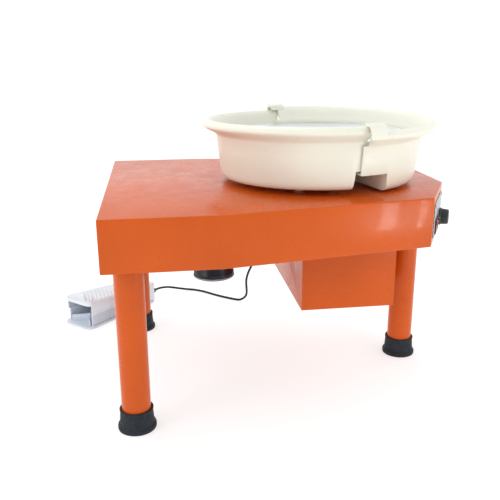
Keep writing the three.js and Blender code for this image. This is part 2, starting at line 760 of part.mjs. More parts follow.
// ---- Control panel ---------------------------------------------------------------------
const controls = new THREE.Group();
controls.applyMatrix4(panelFrame);
potteryWheel.add(controls);
const rockerPlaces = { power: [-38, -13], direction: [-12, -13] };
const rockerHole = [rocker.width + 2 * rocker.play, rocker.length + 2 * rocker.play];
const bezelOuter = [rockerHole[0] + 2 * rocker.bezel, rockerHole[1] + 2 * rocker.bezel];
const panelTop = gap + panel.thick;
const panelPlate = plate(roundedOutline(rectangle(panel.width, panel.height), 5), panel.thick, gap);
add(
  "control_panel",
  cut(
    panelPlate,
    rod(knob.stub + 0.6, 20, knob.along, knob.up, -10, 20),
    ...Object.values(rockerPlaces).map(([x, y]) =>
      block(bezelOuter[0] - 2, bezelOuter[1] - 2, 20, x, y, -10),
    ),
  ),
  "steel",
  controls,
);
const knobBody = cut(
  join(
    lathe([
      [0, 0],
      [knob.radius, 0],
      [knob.radius, 3],
      [knob.radius - 1.5, 4.5],
      [knob.radius - 2.5, knob.height - 1.5],
      [knob.radius - 4, knob.height],
      [0, knob.height],
    ]),
    rod(knob.stub, 10, 0, 0, -9, 16),
  ),
  block(1.6, knob.radius, 4, 0, knob.radius / 2 + 2, knob.height - 1),
);
add("speed_knob", moved(knobBody, knob.along, knob.up, panelTop + 0.5), "blackPlastic", controls);
for (const [name, [x, y]] of Object.entries(rockerPlaces)) {
  const depth = 12;
  const bezel = cut(
    join(
      block(bezelOuter[0], bezelOuter[1], 2, 0, 0, panelTop + gap),
      block(bezelOuter[0] - 2 - 2 * gap, bezelOuter[1] - 2 - 2 * gap, depth + 2, 0, 0, panelTop - depth),
    ),
    block(rockerHole[0], rockerHole[1], depth + 10, 0, 0, panelTop - depth + 1.5),
  );
  add(name + "_switch_bezel", moved(bezel, x, y, 0), "blackPlastic", controls);
  const half = rocker.length / 2;
  const profile = [
    [-half, 0],
    [-half, -3],
    [-2, -6.5],
    [2, -6.5],
    [half, -3],
    [half, 0],
    [half - 0.5, rocker.rise],
    [0, rocker.rise - 1.2],
    [-half + 0.5, rocker.rise],
  ];
  const button = turned(sidePlate(profile, rocker.width, -rocker.width / 2), 90);
  const tilted = button.rotate([rocker.swing, 0, 0]);
  const look = name === "power" ? "redPlastic" : "blackPlastic";
  add(name + "_rocker", moved(tilted, x, y, panelTop + 1), look, controls);
}

// ---- Foot pedal --------------------------------------------------------------------------
// Along +x from its open end to its hinged end, standing on its own four pads.
const pedalGroup = new THREE.Group();
pedalGroup.position.set(pedal.x, pedal.y, 0);
pedalGroup.rotation.z = THREE.MathUtils.degToRad(pedal.turn);
potteryWheel.add(pedalGroup);
const padTop = 2;
const baseBottom = padTop + gap;
const baseThick = 5;
const baseTop = baseBottom + baseThick;
const halfWidth = pedal.width / 2;
const treadHalf = halfWidth - 2;
const skirtInner = treadHalf - tread.skirt;
const wallOuter = skirtInner - 1;
const wallInner = wallOuter - 3;
const endBlock = { start: 193, height: 55, wall: 3 };
const wallStart = 16; // far enough in for the tread's rim to pass when it is pressed
const sideWall = [
  [wallStart, baseTop - 1],
  [190, baseTop - 1],
  [190, pivot.height + pivot.ear - 1],
  [tread.pivot - 4 - pivot.ear, pivot.height + pivot.ear - 1],
  [tread.pivot - 20, 35],
  [wallStart, 37],
];
const pinHole = rod(pivot.radius + gap, 2 * pedal.width, 0, 0, -pedal.width, 20)
  .rotate([90, 0, 0])
  .translate([tread.pivot - 4, 0, pivot.height]);
const ribLength = 86;
const crossRibs = [1, -1].map((side) =>
  turned(block(ribLength, 2.5, 15), side * 45).translate([45, 0, baseTop - 1]),
);
const insideWalls = block(176, 2 * wallInner + 2, 30, 100, 0, baseTop - 2);
const baseOutline = roundedOutline(
  rectangle(pedal.length, pedal.width, pedal.length / 2, 0),
  pedal.corner,
  6,
);
add(
  "pedal_base",
  cut(
    join(
      plate(baseOutline, baseThick, baseBottom),
      sidePlate(sideWall, 3, wallInner),
      sidePlate(sideWall, 3, -wallOuter),
      ...crossRibs.map((rib) => rib.intersect(insideWalls)),
    ),
    pinHole,
  ),
  "paleGreyPlastic",
  pedalGroup,
);
rectangle(pedal.length - 44, pedal.width - 36, pedal.length / 2, 0).forEach(([x, y], i) => {
  add("pedal_pad_" + (i + 1), rod(8, padTop, x, y, 0, 20), "blackRubber", pedalGroup);
});

const glandY = -30;
const pedalGlandHeight = 27;
const endLength = pedal.length - 2 - endBlock.start;
const endX = endBlock.start + endLength / 2;
const endRise = endBlock.height - baseTop - gap;
const endHollow = [endLength - 2 * endBlock.wall, 2 * (treadHalf - endBlock.wall)];
const endHousing = cut(
  plate(roundedOutline(rectangle(endLength, 2 * treadHalf, endX, 0), 6), endRise, baseTop + gap, 2),
  block(...endHollow, endRise - endBlock.wall, endX, 0, baseTop),
  glandHole.rotate([0, 90, 0]).translate([pedal.length - 2, glandY, pedalGlandHeight]),
);
add("pedal_end_housing", endHousing, "greyPlastic", pedalGroup);
add(
  "pedal_sensor",
  join(
    block(20, 24, 22, endX, 10, baseTop + gap),
    rod(7, 10, endX, 10, baseTop + gap + 21, 20),
  ),
  "blackPlastic",
  pedalGroup,
);
add(
  "pedal_gland",
  cableGland.rotate([0, 90, 0]).translate([pedal.length - 2, glandY, pedalGlandHeight]),
  "blackPlastic",
  pedalGroup,
);

const treadSlope = (tread.farTop - tread.nearTop) / (tread.pivot - tread.start);
const treadAt = (x) => tread.nearTop + treadSlope * (x - tread.start);
const slab = sidePlate(
  [
    [tread.start, tread.nearTop - tread.thick],
    [tread.pivot, tread.farTop - tread.thick],
    [tread.pivot, tread.farTop],
    [tread.start, tread.nearTop],
  ],
  2 * treadHalf,
  -treadHalf,
);
const treadLength = tread.pivot - tread.start;
const treadMiddle = (tread.start + tread.pivot) / 2;
const treadPrism = plate(
  roundedOutline(rectangle(treadLength, 2 * treadHalf, treadMiddle, 0), 14, 4),
  200,
  -20,
);
const lipDepth = 10;
const treadRim = cut(
  slab.translate([0, 0, -lipDepth / 2]),
  plate(roundedOutline(rectangle(treadLength - 6, 2 * skirtInner, treadMiddle, 0), 11, 4), 200, -20),
  block(40, pedal.width, 200, tread.pivot, 0),
);
const skirtProfile = [
  [tread.start + 8, treadAt(tread.start + 8) - 2],
  [tread.pivot, treadAt(tread.pivot) - 2],
  [tread.pivot + 3, pivot.height],
  [tread.pivot, pivot.height - 8],
  [tread.pivot - 12, 30],
  [tread.start + 8, 35],
];
const treadRibs = Array.from({ length: treadRib.count }, (_, i) => {
  const x = treadMiddle + (i - (treadRib.count - 1) / 2) * treadRib.step;
  return turned(block(140, treadRib.width, 200), treadRib.slant).translate([x, 0, -20]);
});
const ribBand = slab.translate([0, 0, 2]);
const ribField = plate(
  roundedOutline(rectangle(treadLength - 14, 2 * treadHalf - 12, treadMiddle, 0), 8, 4),
  200,
  -20,
);
const ribbed = ribBand.intersect(join(...treadRibs)).intersect(ribField);
add(
  "pedal_tread",
  cut(
    join(
      slab.intersect(treadPrism),
      treadRim.intersect(treadPrism),
      sidePlate(skirtProfile, tread.skirt, skirtInner).intersect(treadPrism),
      sidePlate(skirtProfile, tread.skirt, -treadHalf).intersect(treadPrism),
      ribbed,
    ),
    pinHole,
  ),
  "greyPlastic",
  pedalGroup,
);
add(
  "pedal_pin",
  rod(pivot.radius, 2 * treadHalf + 2, 0, 0, -treadHalf - 1, 20)
    .rotate([90, 0, 0])
    .translate([tread.pivot - 4, 0, pivot.height]),
  "steel",
  pedalGroup,
);

// ---- Cables ------------------------------------------------------------------------------
// Route points from the spindle axis, at floor level.
const cableRoute = [
  [-327, 391.1, 27],
  [-320.8, 397.8, 26.9],
  [-314.3, 404.4, 26.3],
  [-303, 415, 24],
  [-288.4, 425, 20],
  [-260, 438, 10],
  [-240, 442, 5],
  [-222, 440, 3.2],
  [-197, 423, 3],
  [-170, 395, 3],
  [-146, 373, 3],
  [-127, 358, 3],
  [-109, 346, 4],
  [-97.3, 330, 17],
  [-94.1, 318, 34],
  [-98, 296, 73],
  [-95, 286, 96],
  [-89, 276, 116],
  [-79, 264, 142],
  [-65, 249, 172],
  [-50, 233, 200],
  [-38, 217, 222],
  [-31, 201, 235],
  [-29, 188.3, 238],
];
const leadRoute = [
  [-160.2, 0, 220],
  [-152, 0.5, 221],
  [-140, 2, 229],
  [-131, 4, 243],
  [-119, 6, 260],
  [-102, 6, 274],
  [-80, 3, 281.5],
  [-64.3, 0, 283],
];
function cord(route, radius, sides, steps) {
  const path = new THREE.CatmullRomCurve3(route.map((point) => new THREE.Vector3(...point)));
  const section = new THREE.Shape();
  for (let i = 0; i < sides; i++) {
    const angle = (i * 2 * Math.PI) / sides;
    const [x, y] = [radius * Math.cos(angle), radius * Math.sin(angle)];
    if (i === 0) section.moveTo(x, y);
    else section.lineTo(x, y);
  }
  section.closePath();
  return solid(new THREE.ExtrudeGeometry(section, { steps, extrudePath: path, bevelEnabled: false }));
}
const cords = [
  add("pedal_cable", cord(cableRoute, cable.radius, 8, 56), "blackPlastic"),
  add("motor_lead", cord(leadRoute, cable.leadRadius, 8, 16), "blackPlastic"),
];

// The origin is the middle of the base of everything but the free cables.
const extent = new THREE.Box3();
potteryWheel.updateMatrixWorld(true);
potteryWheel.traverse((piece) => {
  if (piece.isMesh && !cords.includes(piece)) extent.expandByObject(piece, true);
});
const middle = extent.getCenter(new THREE.Vector3());
potteryWheel.position.set(-middle.x, -middle.y, -extent.min.z);

export default potteryWheel;
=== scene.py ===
import json
import math
import bpy
from mathutils import Matrix, Vector


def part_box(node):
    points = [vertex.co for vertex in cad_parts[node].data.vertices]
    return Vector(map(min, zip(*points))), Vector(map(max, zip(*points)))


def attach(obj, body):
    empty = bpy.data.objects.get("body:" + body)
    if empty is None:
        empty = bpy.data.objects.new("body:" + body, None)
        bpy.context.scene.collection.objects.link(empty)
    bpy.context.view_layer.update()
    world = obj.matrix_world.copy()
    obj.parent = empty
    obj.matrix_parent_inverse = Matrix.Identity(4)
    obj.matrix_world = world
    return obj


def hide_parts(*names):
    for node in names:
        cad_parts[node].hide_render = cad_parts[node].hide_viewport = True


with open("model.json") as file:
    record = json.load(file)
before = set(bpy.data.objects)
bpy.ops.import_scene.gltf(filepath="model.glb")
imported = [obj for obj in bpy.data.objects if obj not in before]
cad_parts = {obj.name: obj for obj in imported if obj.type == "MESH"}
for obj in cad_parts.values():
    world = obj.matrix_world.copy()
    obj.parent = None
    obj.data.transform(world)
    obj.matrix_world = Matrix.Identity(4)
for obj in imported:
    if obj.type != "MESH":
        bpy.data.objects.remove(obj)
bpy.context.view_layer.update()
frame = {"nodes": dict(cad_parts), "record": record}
bodies = frame["record"]["behaviour"]["bodies"]
bodyOf = {node: body for body, nodes in bodies.items() for node in nodes}
slotOf = {row["node"]: row["material_slot"] for row in frame["record"]["subparts"]}
mm = 0.001  # pieces are set out in millimetres and degrees
mergeDistance = 1e-6  # metres


# Places that everything else is measured from

origin = Vector((0, 0, 0))


def middleOf(node):
    low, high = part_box(node)
    return (low + high) / 2


spindle = middleOf("wheel_head")
spindle.z = 0
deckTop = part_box("table_shell")[1].z
motorAxis = Vector((middleOf("motor_end_cap").x, middleOf("motor_end_cap").y, 0))


def fromSpindle(x, y, z):
    return spindle + Vector((x, y, z)) * mm


# Helpers

def joined(words):
    # a CAD node's name in one word
    first, *rest = words.split("_")
    return first + "".join(word.title() for word in rest)


def deselectAll():
    if bpy.context.object and bpy.context.object.mode != "OBJECT":
        bpy.ops.object.mode_set(mode="OBJECT")
    bpy.ops.object.select_all(action="DESELECT")


def pick(piece):
    deselectAll()
    piece.select_set(True)
    bpy.context.view_layer.objects.active = piece
    return piece


def settle(piece):
    pick(piece)
    bpy.ops.object.transform_apply(location=True, rotation=True, scale=True)
    return piece


def meetFaces(piece):
    pick(piece)
    bpy.ops.object.mode_set(mode="EDIT")
    bpy.ops.mesh.select_all(action="SELECT")
    bpy.ops.mesh.remove_doubles(threshold=mergeDistance)
    bpy.ops.mesh.normals_make_consistent(inside=False)
    bpy.ops.object.mode_set(mode="OBJECT")
    return piece


def startPoint(name, place):
    # one vertex to draw an outline from
    deselectAll()
    bpy.ops.mesh.primitive_plane_add(size=mm, location=place)
    piece = bpy.context.object
    piece.name = name
    bpy.ops.object.mode_set(mode="EDIT")
    bpy.ops.mesh.select_mode(type="VERT")
    bpy.ops.mesh.select_all(action="SELECT")
    bpy.ops.mesh.merge(type="CENTER")
    return piece


def drawOutline(points):
    for before, after in zip(points, points[1:]):
        step = Vector(after) - Vector(before)
        bpy.ops.mesh.extrude_region_move(TRANSFORM_OT_translate={"value": step})


def turnedPiece(name, outline, axis, steps=96, ring=True):
    # outline in [radius, height] millimetres, turned about an upright axis
    points = [(axis.x + r * mm, axis.y, axis.z + z * mm) for r, z in outline]
    if ring:
        points.append(points[0])
    piece = startPoint(name, points[0])
    drawOutline(points)
    bpy.ops.mesh.select_all(action="SELECT")
    bpy.ops.mesh.spin(steps=steps, angle=2 * math.pi, center=axis, axis=(0, 0, 1))
    bpy.ops.object.mode_set(mode="OBJECT")
    settle(piece)
    return meetFaces(piece)


def plugPiece(name, radius, bottom, top, axis, steps):
    # a solid upright cylinder
    outline = [(0, bottom), (radius, bottom), (radius, top), (0, top)]
    return turnedPiece(name, outline, axis, steps, False)


def slabPiece(name, outline, bottom, height, direction=(0, 0, 1)):
    # outline in metres, filled and pulled along a direction
    points = [Vector(point) + Vector(direction) * bottom for point in outline]
    piece = startPoint(name, points[0])
    drawOutline(points)
    bpy.ops.mesh.select_all(action="SELECT")
    bpy.ops.mesh.edge_face_add()
    pull = Vector(direction) * height
    bpy.ops.mesh.extrude_region_move(TRANSFORM_OT_translate={"value": pull})
    bpy.ops.object.mode_set(mode="OBJECT")
    settle(piece)
    return meetFaces(piece)


def boxPiece(name, low, high):
    deselectAll()
    bpy.ops.mesh.primitive_cube_add(size=1, location=(Vector(low) + Vector(high)) / 2)
    piece = bpy.context.object
    piece.name = name
    piece.scale = Vector(high) - Vector(low)
    return settle(piece)


def combine(piece, tool, way):
    pick(piece)
    change = piece.modifiers.new(way, "BOOLEAN")
    change.operation = way
    change.solver = "MANIFOLD"
    change.object = tool
    bpy.ops.object.modifier_apply(modifier=change.name)
    bpy.data.objects.remove(tool)
    return piece


def roundEdges(piece, width, angle=40, segments=2):
    pick(piece)
    change = piece.modifiers.new("round", "BEVEL")
    change.width = width * mm
    change.segments = segments
    change.limit_method = "ANGLE"
    change.angle_limit = math.radians(angle)
    change.miter_outer = "MITER_ARC"
    bpy.ops.object.modifier_apply(modifier=change.name)
    return piece


def smooth(piece, angle=35):
    pick(piece)
    bpy.ops.object.shade_smooth_by_angle(angle=math.radians(angle))
    return piece


def copyOf(node, name, flatFaces=True):
    # a merged copy of a CAD node, to give finer edges
    deselectAll()
    source = frame["nodes"][node]
    piece = bpy.data.objects.new(name, source.data.copy())
    bpy.context.collection.objects.link(piece)
    pick(piece)
    bpy.ops.object.mode_set(mode="EDIT")
    bpy.ops.mesh.select_all(action="SELECT")
    bpy.ops.mesh.remove_doubles(threshold=mergeDistance)
    if flatFaces:
        bpy.ops.mesh.dissolve_limited(angle_limit=math.radians(1))
    bpy.ops.object.mode_set(mode="OBJECT")
    return piece


def seat(piece, body, slot):
    piece.data.materials.clear()
    piece.data.materials.append(finishes[slot])
    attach(piece, body)
    return piece


def standIn(piece, node):
    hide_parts(node)
    return seat(piece, bodyOf[node], slotOf[node])


# Camera: place in metres, turn in degrees, lens in millimetres

cameraSettings = {
    "place": (-0.1563, -1.3083, 0.6283),
    "turn": (72.9, 0.2, -8.33),
    "lens": 46.85,
}
bpy.ops.object.camera_add(
    location=cameraSettings["place"],
    rotation=[math.radians(angle) for angle in cameraSettings["turn"]],
)
camera = bpy.context.object
camera.data.lens = cameraSettings["lens"]
bpy.context.scene.camera = camera
print("camera ready")


# Finishes. Each is built on the Principled shader with patterns on Object coordinates.

class Finish:
    def __init__(self, name, colour, roughness, metallic=0.0, sockets=()):
        self.material = bpy.data.materials.new(name)
        self.material.use_nodes = True
        self.tree = self.material.node_tree
        self.shader = self.tree.nodes["Principled BSDF"]
        self.colour = (*colour, 1)
        self.shader.inputs["Base Color"].default_value = self.colour
        self.shader.inputs["Roughness"].default_value = roughness
        self.shader.inputs["Metallic"].default_value = metallic
        for socket, value in sockets:
            self.shader.inputs[socket].default_value = value
        self.coords = self.tree.nodes.new("ShaderNodeTexCoord").outputs["Object"]
        self.height = None

    def node(self, kind, **values):
        made = self.tree.nodes.new(kind)
        for key, value in values.items():
            setattr(made, key, value)
        return made

    def link(self, start, end):
        self.tree.links.new(start, end)

    def placed(self, centre=(0, 0, 0), turn=(0, 0, 0), scale=(1, 1, 1)):
        # Object coordinates centred and turned on the piece
        mapping = self.node("ShaderNodeMapping", vector_type="TEXTURE")
        mapping.inputs["Location"].default_value = centre
        mapping.inputs["Rotation"].default_value = [math.radians(a) for a in turn]
        mapping.inputs["Scale"].default_value = scale
        self.link(self.coords, mapping.inputs["Vector"])
        return mapping.outputs["Vector"]

    def noise(self, scale, detail=3.0, coords=None, roughness=0.55):
        made = self.node("ShaderNodeTexNoise")
        made.inputs["Scale"].default_value = scale
        made.inputs["Detail"].default_value = detail
        made.inputs["Roughness"].default_value = roughness
        self.link(coords or self.coords, made.inputs["Vector"])
        return made.outputs["Fac"]

    def ramp(self, source, low, high, lowColour, highColour):
        made = self.node("ShaderNodeValToRGB")
        made.color_ramp.elements[0].position = low
        made.color_ramp.elements[1].position = high
        made.color_ramp.elements[0].color = lowColour
        made.color_ramp.elements[1].color = highColour
        self.link(source, made.inputs["Fac"])
        return made.outputs["Color"]

    def rescale(self, source, low, high, fromLow=0.3, fromHigh=0.7):
        made = self.node("ShaderNodeMapRange")
        limits = {"From Min": fromLow, "From Max": fromHigh, "To Min": low, "To Max": high}
        for key, value in limits.items():
            made.inputs[key].default_value = value
        self.link(source, made.inputs["Value"])
        return made.outputs["Result"]

    def shadeColour(self, source, low=0.9, high=1.06):
        # darker and lighter patches of the base colour
        dark = [channel * low for channel in self.colour[:3]] + [1]
        light = [min(channel * high, 1) for channel in self.colour[:3]] + [1]
        self.link(self.ramp(source, 0.3, 0.7, dark, light), self.shader.inputs["Base Color"])

    def roughen(self, source, low, high):
        self.link(self.rescale(source, low, high), self.shader.inputs["Roughness"])

    def bump(self, source, strength, distance):
        made = self.node("ShaderNodeBump")
        made.inputs["Strength"].default_value = strength
        made.inputs["Distance"].default_value = distance * mm
        self.link(source, made.inputs["Height"])
        if self.height:
            self.link(self.height, made.inputs["Normal"])
        self.height = made.outputs["Normal"]
        self.link(self.height, self.shader.inputs["Normal"])

    def axisDistance(self, centre):
        # distance from an upright axis, in metres
        split = self.node("ShaderNodeSeparateXYZ")
        self.link(self.placed(centre), split.inputs["Vector"])
        flat = self.node("ShaderNodeCombineXYZ")
        self.link(split.outputs["X"], flat.inputs["X"])
        self.link(split.outputs["Y"], flat.inputs["Y"])
        length = self.node("ShaderNodeVectorMath", operation="LENGTH")
        self.link(flat.outputs["Vector"], length.inputs[0])
        return length.outputs["Value"]


def orangePaint():
    # sprayed gloss paint with a slight orange peel
    made = Finish("orangePaint", (0.57, 0.088, 0.005), 0.3, 0, [
        ("Coat Weight", 0.1), ("Coat Roughness", 0.07), ("Specular IOR Level", 0.2),
    ])
    made.shadeColour(made.noise(7, 4), 0.93, 1.05)
    made.roughen(made.noise(30, 5), 0.22, 0.34)
    made.bump(made.noise(260, 2), 0.1, 0.2)
    made.bump(made.noise(34, 2), 0.1, 0.4)
    return made.material


def blackRubber():
    made = Finish("blackRubber", (0.004, 0.008, 0.013), 0.72, 0, [("Specular IOR Level", 0.45)])
    made.shadeColour(made.noise(60, 6), 0.75, 1.9)
    made.roughen(made.noise(180, 4), 0.6, 0.85)
    made.bump(made.noise(1300, 3), 0.35, 0.12)
    made.bump(made.noise(130, 3), 0.3, 0.2)
    return made.material


def turnedAluminium():
    # fine rings left by the turning tool, which stretch every highlight across them
    made = Finish("turnedAluminium", (0.8, 0.86, 0.96), 0.3, 1, [("Anisotropic", 0.85)])
    radius = made.axisDistance((spindle.x, spindle.y, 0))
    rings = made.node("ShaderNodeTexNoise", noise_dimensions="1D")
    rings.inputs["Scale"].default_value = 1400
    rings.inputs["Detail"].default_value = 4
    made.link(radius, rings.inputs["W"])
    bands = made.node("ShaderNodeTexNoise", noise_dimensions="1D")
    bands.inputs["Scale"].default_value = 90
    made.link(radius, bands.inputs["W"])
    made.shadeColour(bands.outputs["Fac"], 0.9, 1.06)
    made.roughen(rings.outputs["Fac"], 0.22, 0.38)
    made.bump(rings.outputs["Fac"], 0.25, 0.05)
    tangent = made.node("ShaderNodeTangent", direction_type="RADIAL", axis="Z")
    made.link(tangent.outputs["Tangent"], made.shader.inputs["Tangent"])
    return made.material


def ivoryPlastic():
    # thick moulded plastic, a little translucent, with faint flow marks and scuffs
    made = Finish("ivoryPlastic", (0.79, 0.79, 0.68), 0.33, 0, [
        ("Subsurface Weight", 0.12), ("Subsurface Radius", (1.0, 0.75, 0.45)),
        ("Subsurface Scale", 0.004), ("Coat Weight", 0.15), ("Coat Roughness", 0.2),
    ])
    flow = made.placed((spindle.x, spindle.y, deckTop), (0, 0, 20), (1, 1, 3))
    made.shadeColour(made.noise(5, 5, flow), 0.955, 1.03)
    made.roughen(made.noise(55, 6), 0.26, 0.42)
    made.bump(made.noise(900, 2), 0.12, 0.06)
    made.bump(made.noise(16, 2, flow), 0.12, 0.8)
    return made.material


def blackPaint():
    made = Finish("blackPaint", (0.008, 0.01, 0.018), 0.35, 0, [
        ("Coat Weight", 0.1), ("Coat Roughness", 0.2), ("Specular IOR Level", 0.3),
    ])
    made.shadeColour(made.noise(40, 5), 0.8, 1.5)
    made.roughen(made.noise(90, 5), 0.28, 0.48)
    made.bump(made.noise(700, 3), 0.25, 0.12)
    return made.material


def greyMetal():
    # die-cast metal with a fine grain
    made = Finish("greyMetal", (0.23, 0.245, 0.25), 0.42, 0.85)
    made.shadeColour(made.noise(70, 6), 0.8, 1.2)
    made.roughen(made.noise(160, 4), 0.34, 0.55)
    made.bump(made.noise(900, 4), 0.35, 0.1)
    return made.material


def brushedSteel():
    # brushed along the control panel
    brushTurn = 61.4
    made = Finish("brushedSteel", (0.46, 0.47, 0.48), 0.32, 1, [("Anisotropic", 0.5)])
    brushed = made.placed((0, 0, 0), (0, 0, brushTurn), (30, 1, 1))
    made.shadeColour(made.noise(500, 4, brushed), 0.85, 1.1)
    made.roughen(made.noise(700, 3, brushed), 0.24, 0.42)
    made.bump(made.noise(900, 3, brushed), 0.2, 0.05)
    return made.material


def mouldedPlastic(name, colour, roughness, grain=1000, coat=0.0, spread=(0.94, 1.04)):
    # injection-moulded plastic with a spark-eroded texture
    made = Finish(name, colour, roughness, 0, [("Coat Weight", coat), ("Coat Roughness", 0.15)])
    made.shadeColour(made.noise(25, 5), *spread)
    made.roughen(made.noise(120, 5), roughness - 0.08, roughness + 0.1)
    made.bump(made.noise(grain, 3), 0.25, 0.08)
    return made.material


def greenBoard():
    # solder mask over copper tracks
    mask, copper = (0.012, 0.1, 0.035), (0.05, 0.24, 0.07)
    made = Finish("greenBoard", mask, 0.35, 0, [("Coat Weight", 0.5)])
    tracks = made.node("ShaderNodeTexBrick")
    tracks.inputs["Scale"].default_value = 90
    tracks.inputs["Mortar Size"].default_value = 0.03
    made.link(made.coords, tracks.inputs["Vector"])
    made.link(
        made.ramp(tracks.outputs["Fac"], 0.4, 0.6, (*mask, 1), (*copper, 1)),
        made.shader.inputs["Base Color"],
    )
    made.roughen(made.noise(200, 3), 0.28, 0.45)
    made.bump(tracks.outputs["Fac"], 0.4, 0.05)
    return made.material


finishes = {
    "orange_paint": orangePaint(),
    "black_rubber": blackRubber(),
    "turned_aluminium": turnedAluminium(),
    "ivory_plastic": ivoryPlastic(),
    "black_paint": blackPaint(),
    "grey_metal": greyMetal(),
    "steel": brushedSteel(),
    "grey_plastic": mouldedPlastic("greyPlastic", (0.74, 0.77, 0.82), 0.42),
    "pale_grey_plastic": mouldedPlastic("paleGreyPlastic", (0.64, 0.7, 0.79), 0.38),
    "black_plastic": mouldedPlastic("blackPlastic", (0.012, 0.013, 0.015), 0.4, 1200, 0, (0.8, 1.6)),
    "red_plastic": mouldedPlastic("redPlastic", (0.45, 0.018, 0.015), 0.3, 1200, 0.4),
    "green_board": greenBoard(),
}
print("finishes ready")


# Cables: route points from the spindle axis, at floor level, in millimetres

pedalCable = {
    "name": "pedalCable", "node": "pedal_cable", "diameter": 0.0055,
    "route": [
        (-327, 391.1, 27), (-320.8, 397.8, 26.9), (-314.3, 404.4, 26.3), (-303, 415, 24),
        (-288.4, 425, 20), (-260, 438, 10), (-240, 442, 5), (-222, 440, 3.2),
        (-197, 423, 3), (-170, 395, 3), (-146, 373, 3), (-127, 358, 3),
        (-109, 346, 4), (-97.3, 330, 17), (-94.1, 318, 34), (-98, 296, 73),
        (-95, 286, 96), (-89, 276, 116), (-79, 264, 142), (-65, 249, 172),
        (-50, 233, 200), (-38, 217, 222), (-31, 201, 235), (-29, 188.3, 238),
    ],
}
motorLead = {
    "name": "motorLead", "node": "motor_lead", "diameter": 0.005,
    "route": [
        (-160.2, 0, 220), (-152, 0.5, 221), (-140, 2, 229), (-131, 4, 243),
        (-119, 6, 260), (-102, 6, 274), (-80, 3, 281.5), (-64.3, 0, 283),
    ],
}


def cableJacket():
    # black PVC with a dull skin and a slight ripple from the twisted cores inside
    made = Finish("cableJacket", (0.007, 0.008, 0.01), 0.42, 0, [("Specular IOR Level", 0.2)])
    made.shadeColour(made.noise(80, 5), 0.8, 1.7)
    made.roughen(made.noise(150, 4), 0.34, 0.55)
    made.bump(made.noise(350, 2), 0.2, 0.12)
    return made.material


def smoothRoute(points, steps=12):
    # a smooth line through the points, in short steps
    line = []
    for i in range(len(points) - 1):
        a, b, c, d = (points[min(max(k, 0), len(points) - 1)] for k in (i - 1, i, i + 1, i + 2))
        for k in range(steps):
            t = k / steps
            line.append(0.5 * (2 * b + (c - a) * t + (2 * a - 5 * b + 4 * c - d) * t * t
                               + (3 * b - a - 3 * c + d) * t ** 3))
    return line + [points[-1]]


def layCable(settings, jacket):
    points = smoothRoute([fromSpindle(*point) for point in settings["route"]])
    line = bpy.data.curves.new(settings["name"], "CURVE")
    line.dimensions = "3D"
    line.bevel_depth = settings["diameter"] / 2
    line.bevel_resolution = 5
    line.use_fill_caps = True
    spline = line.splines.new("POLY")
    spline.points.add(len(points) - 1)
    for knot, point in zip(spline.points, points):
        knot.co = (*point, 1)
    cable = bpy.data.objects.new(settings["name"], line)
    bpy.context.collection.objects.link(cable)
    line.materials.append(jacket)
    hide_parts(settings["node"])
    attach(cable, "table")


jacket = cableJacket()
layCable(pedalCable, jacket)
layCable(motorLead, jacket)


# Floor and lights: a white studio, in metres and watts

studio = {
    "floor": 16, "white": (0.5, 0.5, 0.5), "glow": 0.6,
    "world": 1.08, "dark": 0.7, "darkFrom": -0.25, "darkTo": -0.85,
}
bpy.ops.mesh.primitive_plane_add(size=studio["floor"], location=(0, 0, 0))
floor = bpy.context.object
floor.name = "studioFloor"
floorLook = Finish("studioFloor", studio["white"], 0.9, 0, [
    ("Emission Color", (1, 1, 1, 1)), ("Emission Strength", studio["glow"]),
])
floorLook.shadeColour(floorLook.noise(2), 0.99, 1.005)
floor.data.materials.append(floorLook.material)


def makeWorld():
    # white all round, darker on the camera's side so that gloss keeps its colour there
    world = bpy.data.worlds.new("studioWorld")
    world.use_nodes = True
    nodes, links = world.node_tree.nodes, world.node_tree.links
    split = nodes.new("ShaderNodeSeparateXYZ")
    links.new(nodes.new("ShaderNodeTexCoord").outputs["Generated"], split.inputs["Vector"])
    shade = nodes.new("ShaderNodeMapRange")
    shade.inputs["From Min"].default_value = studio["darkTo"]
    shade.inputs["From Max"].default_value = studio["darkFrom"]
    shade.inputs["To Min"].default_value = studio["dark"]
    shade.inputs["To Max"].default_value = studio["world"]
    links.new(split.outputs["Y"], shade.inputs["Value"])
    links.new(shade.outputs["Result"], nodes["Background"].inputs["Strength"])
    nodes["Background"].inputs["Color"].default_value = (1, 1, 1, 1)
    bpy.context.scene.world = world


makeWorld()
bpy.context.scene.view_settings.view_transform = "Standard"

lights = {
    "keyLight": {"place": (1.5, -1.9, 1.7), "aim": (0.05, -0.1, 0.35), "size": (0.9, 0.9), "power": 3},
    "topLight": {"place": (-0.4, 0.6, 2.4), "aim": (0.1, 0, 0.4), "size": (1.6, 1.6), "power": 9},
    "leftLight": {"place": (-2.0, -1.2, 1.1), "aim": (-0.1, 0, 0.3), "size": (1.2, 1.2), "power": 12},
    "wideStrip": {
        "place": (0.9, -1.1, 0.2), "aim": (0.21, -0.3, 0.35), "size": (0.07, 0.36), "power": 1.6,
    },
    "thinStrip": {
        "place": (1.05, -1.04, 0.2), "aim": (0.28, -0.29, 0.35), "size": (0.025, 0.36), "power": 0.8,
    },
}
for name, values in lights.items():
    aim = Vector(values["aim"]) - Vector(values["place"])
    bpy.ops.object.light_add(
        type="AREA", location=values["place"], rotation=aim.to_track_quat("-Z", "Y").to_euler(),
    )
    light = bpy.context.object
    light.name = name
    light.data.shape = "RECTANGLE"
    light.data.size, light.data.size_y = values["size"]
    light.data.energy = values["power"]
print("studio ready")


# Table: one prism cut to the tapered outline, hollowed and rounded

tableSettings = {
    "straight": 192, "taper": 63, "chamfer": (72, 132), "sheet": 2, "edge": 2.2,
    "hole": 31.3, "holeDepth": 20,
}


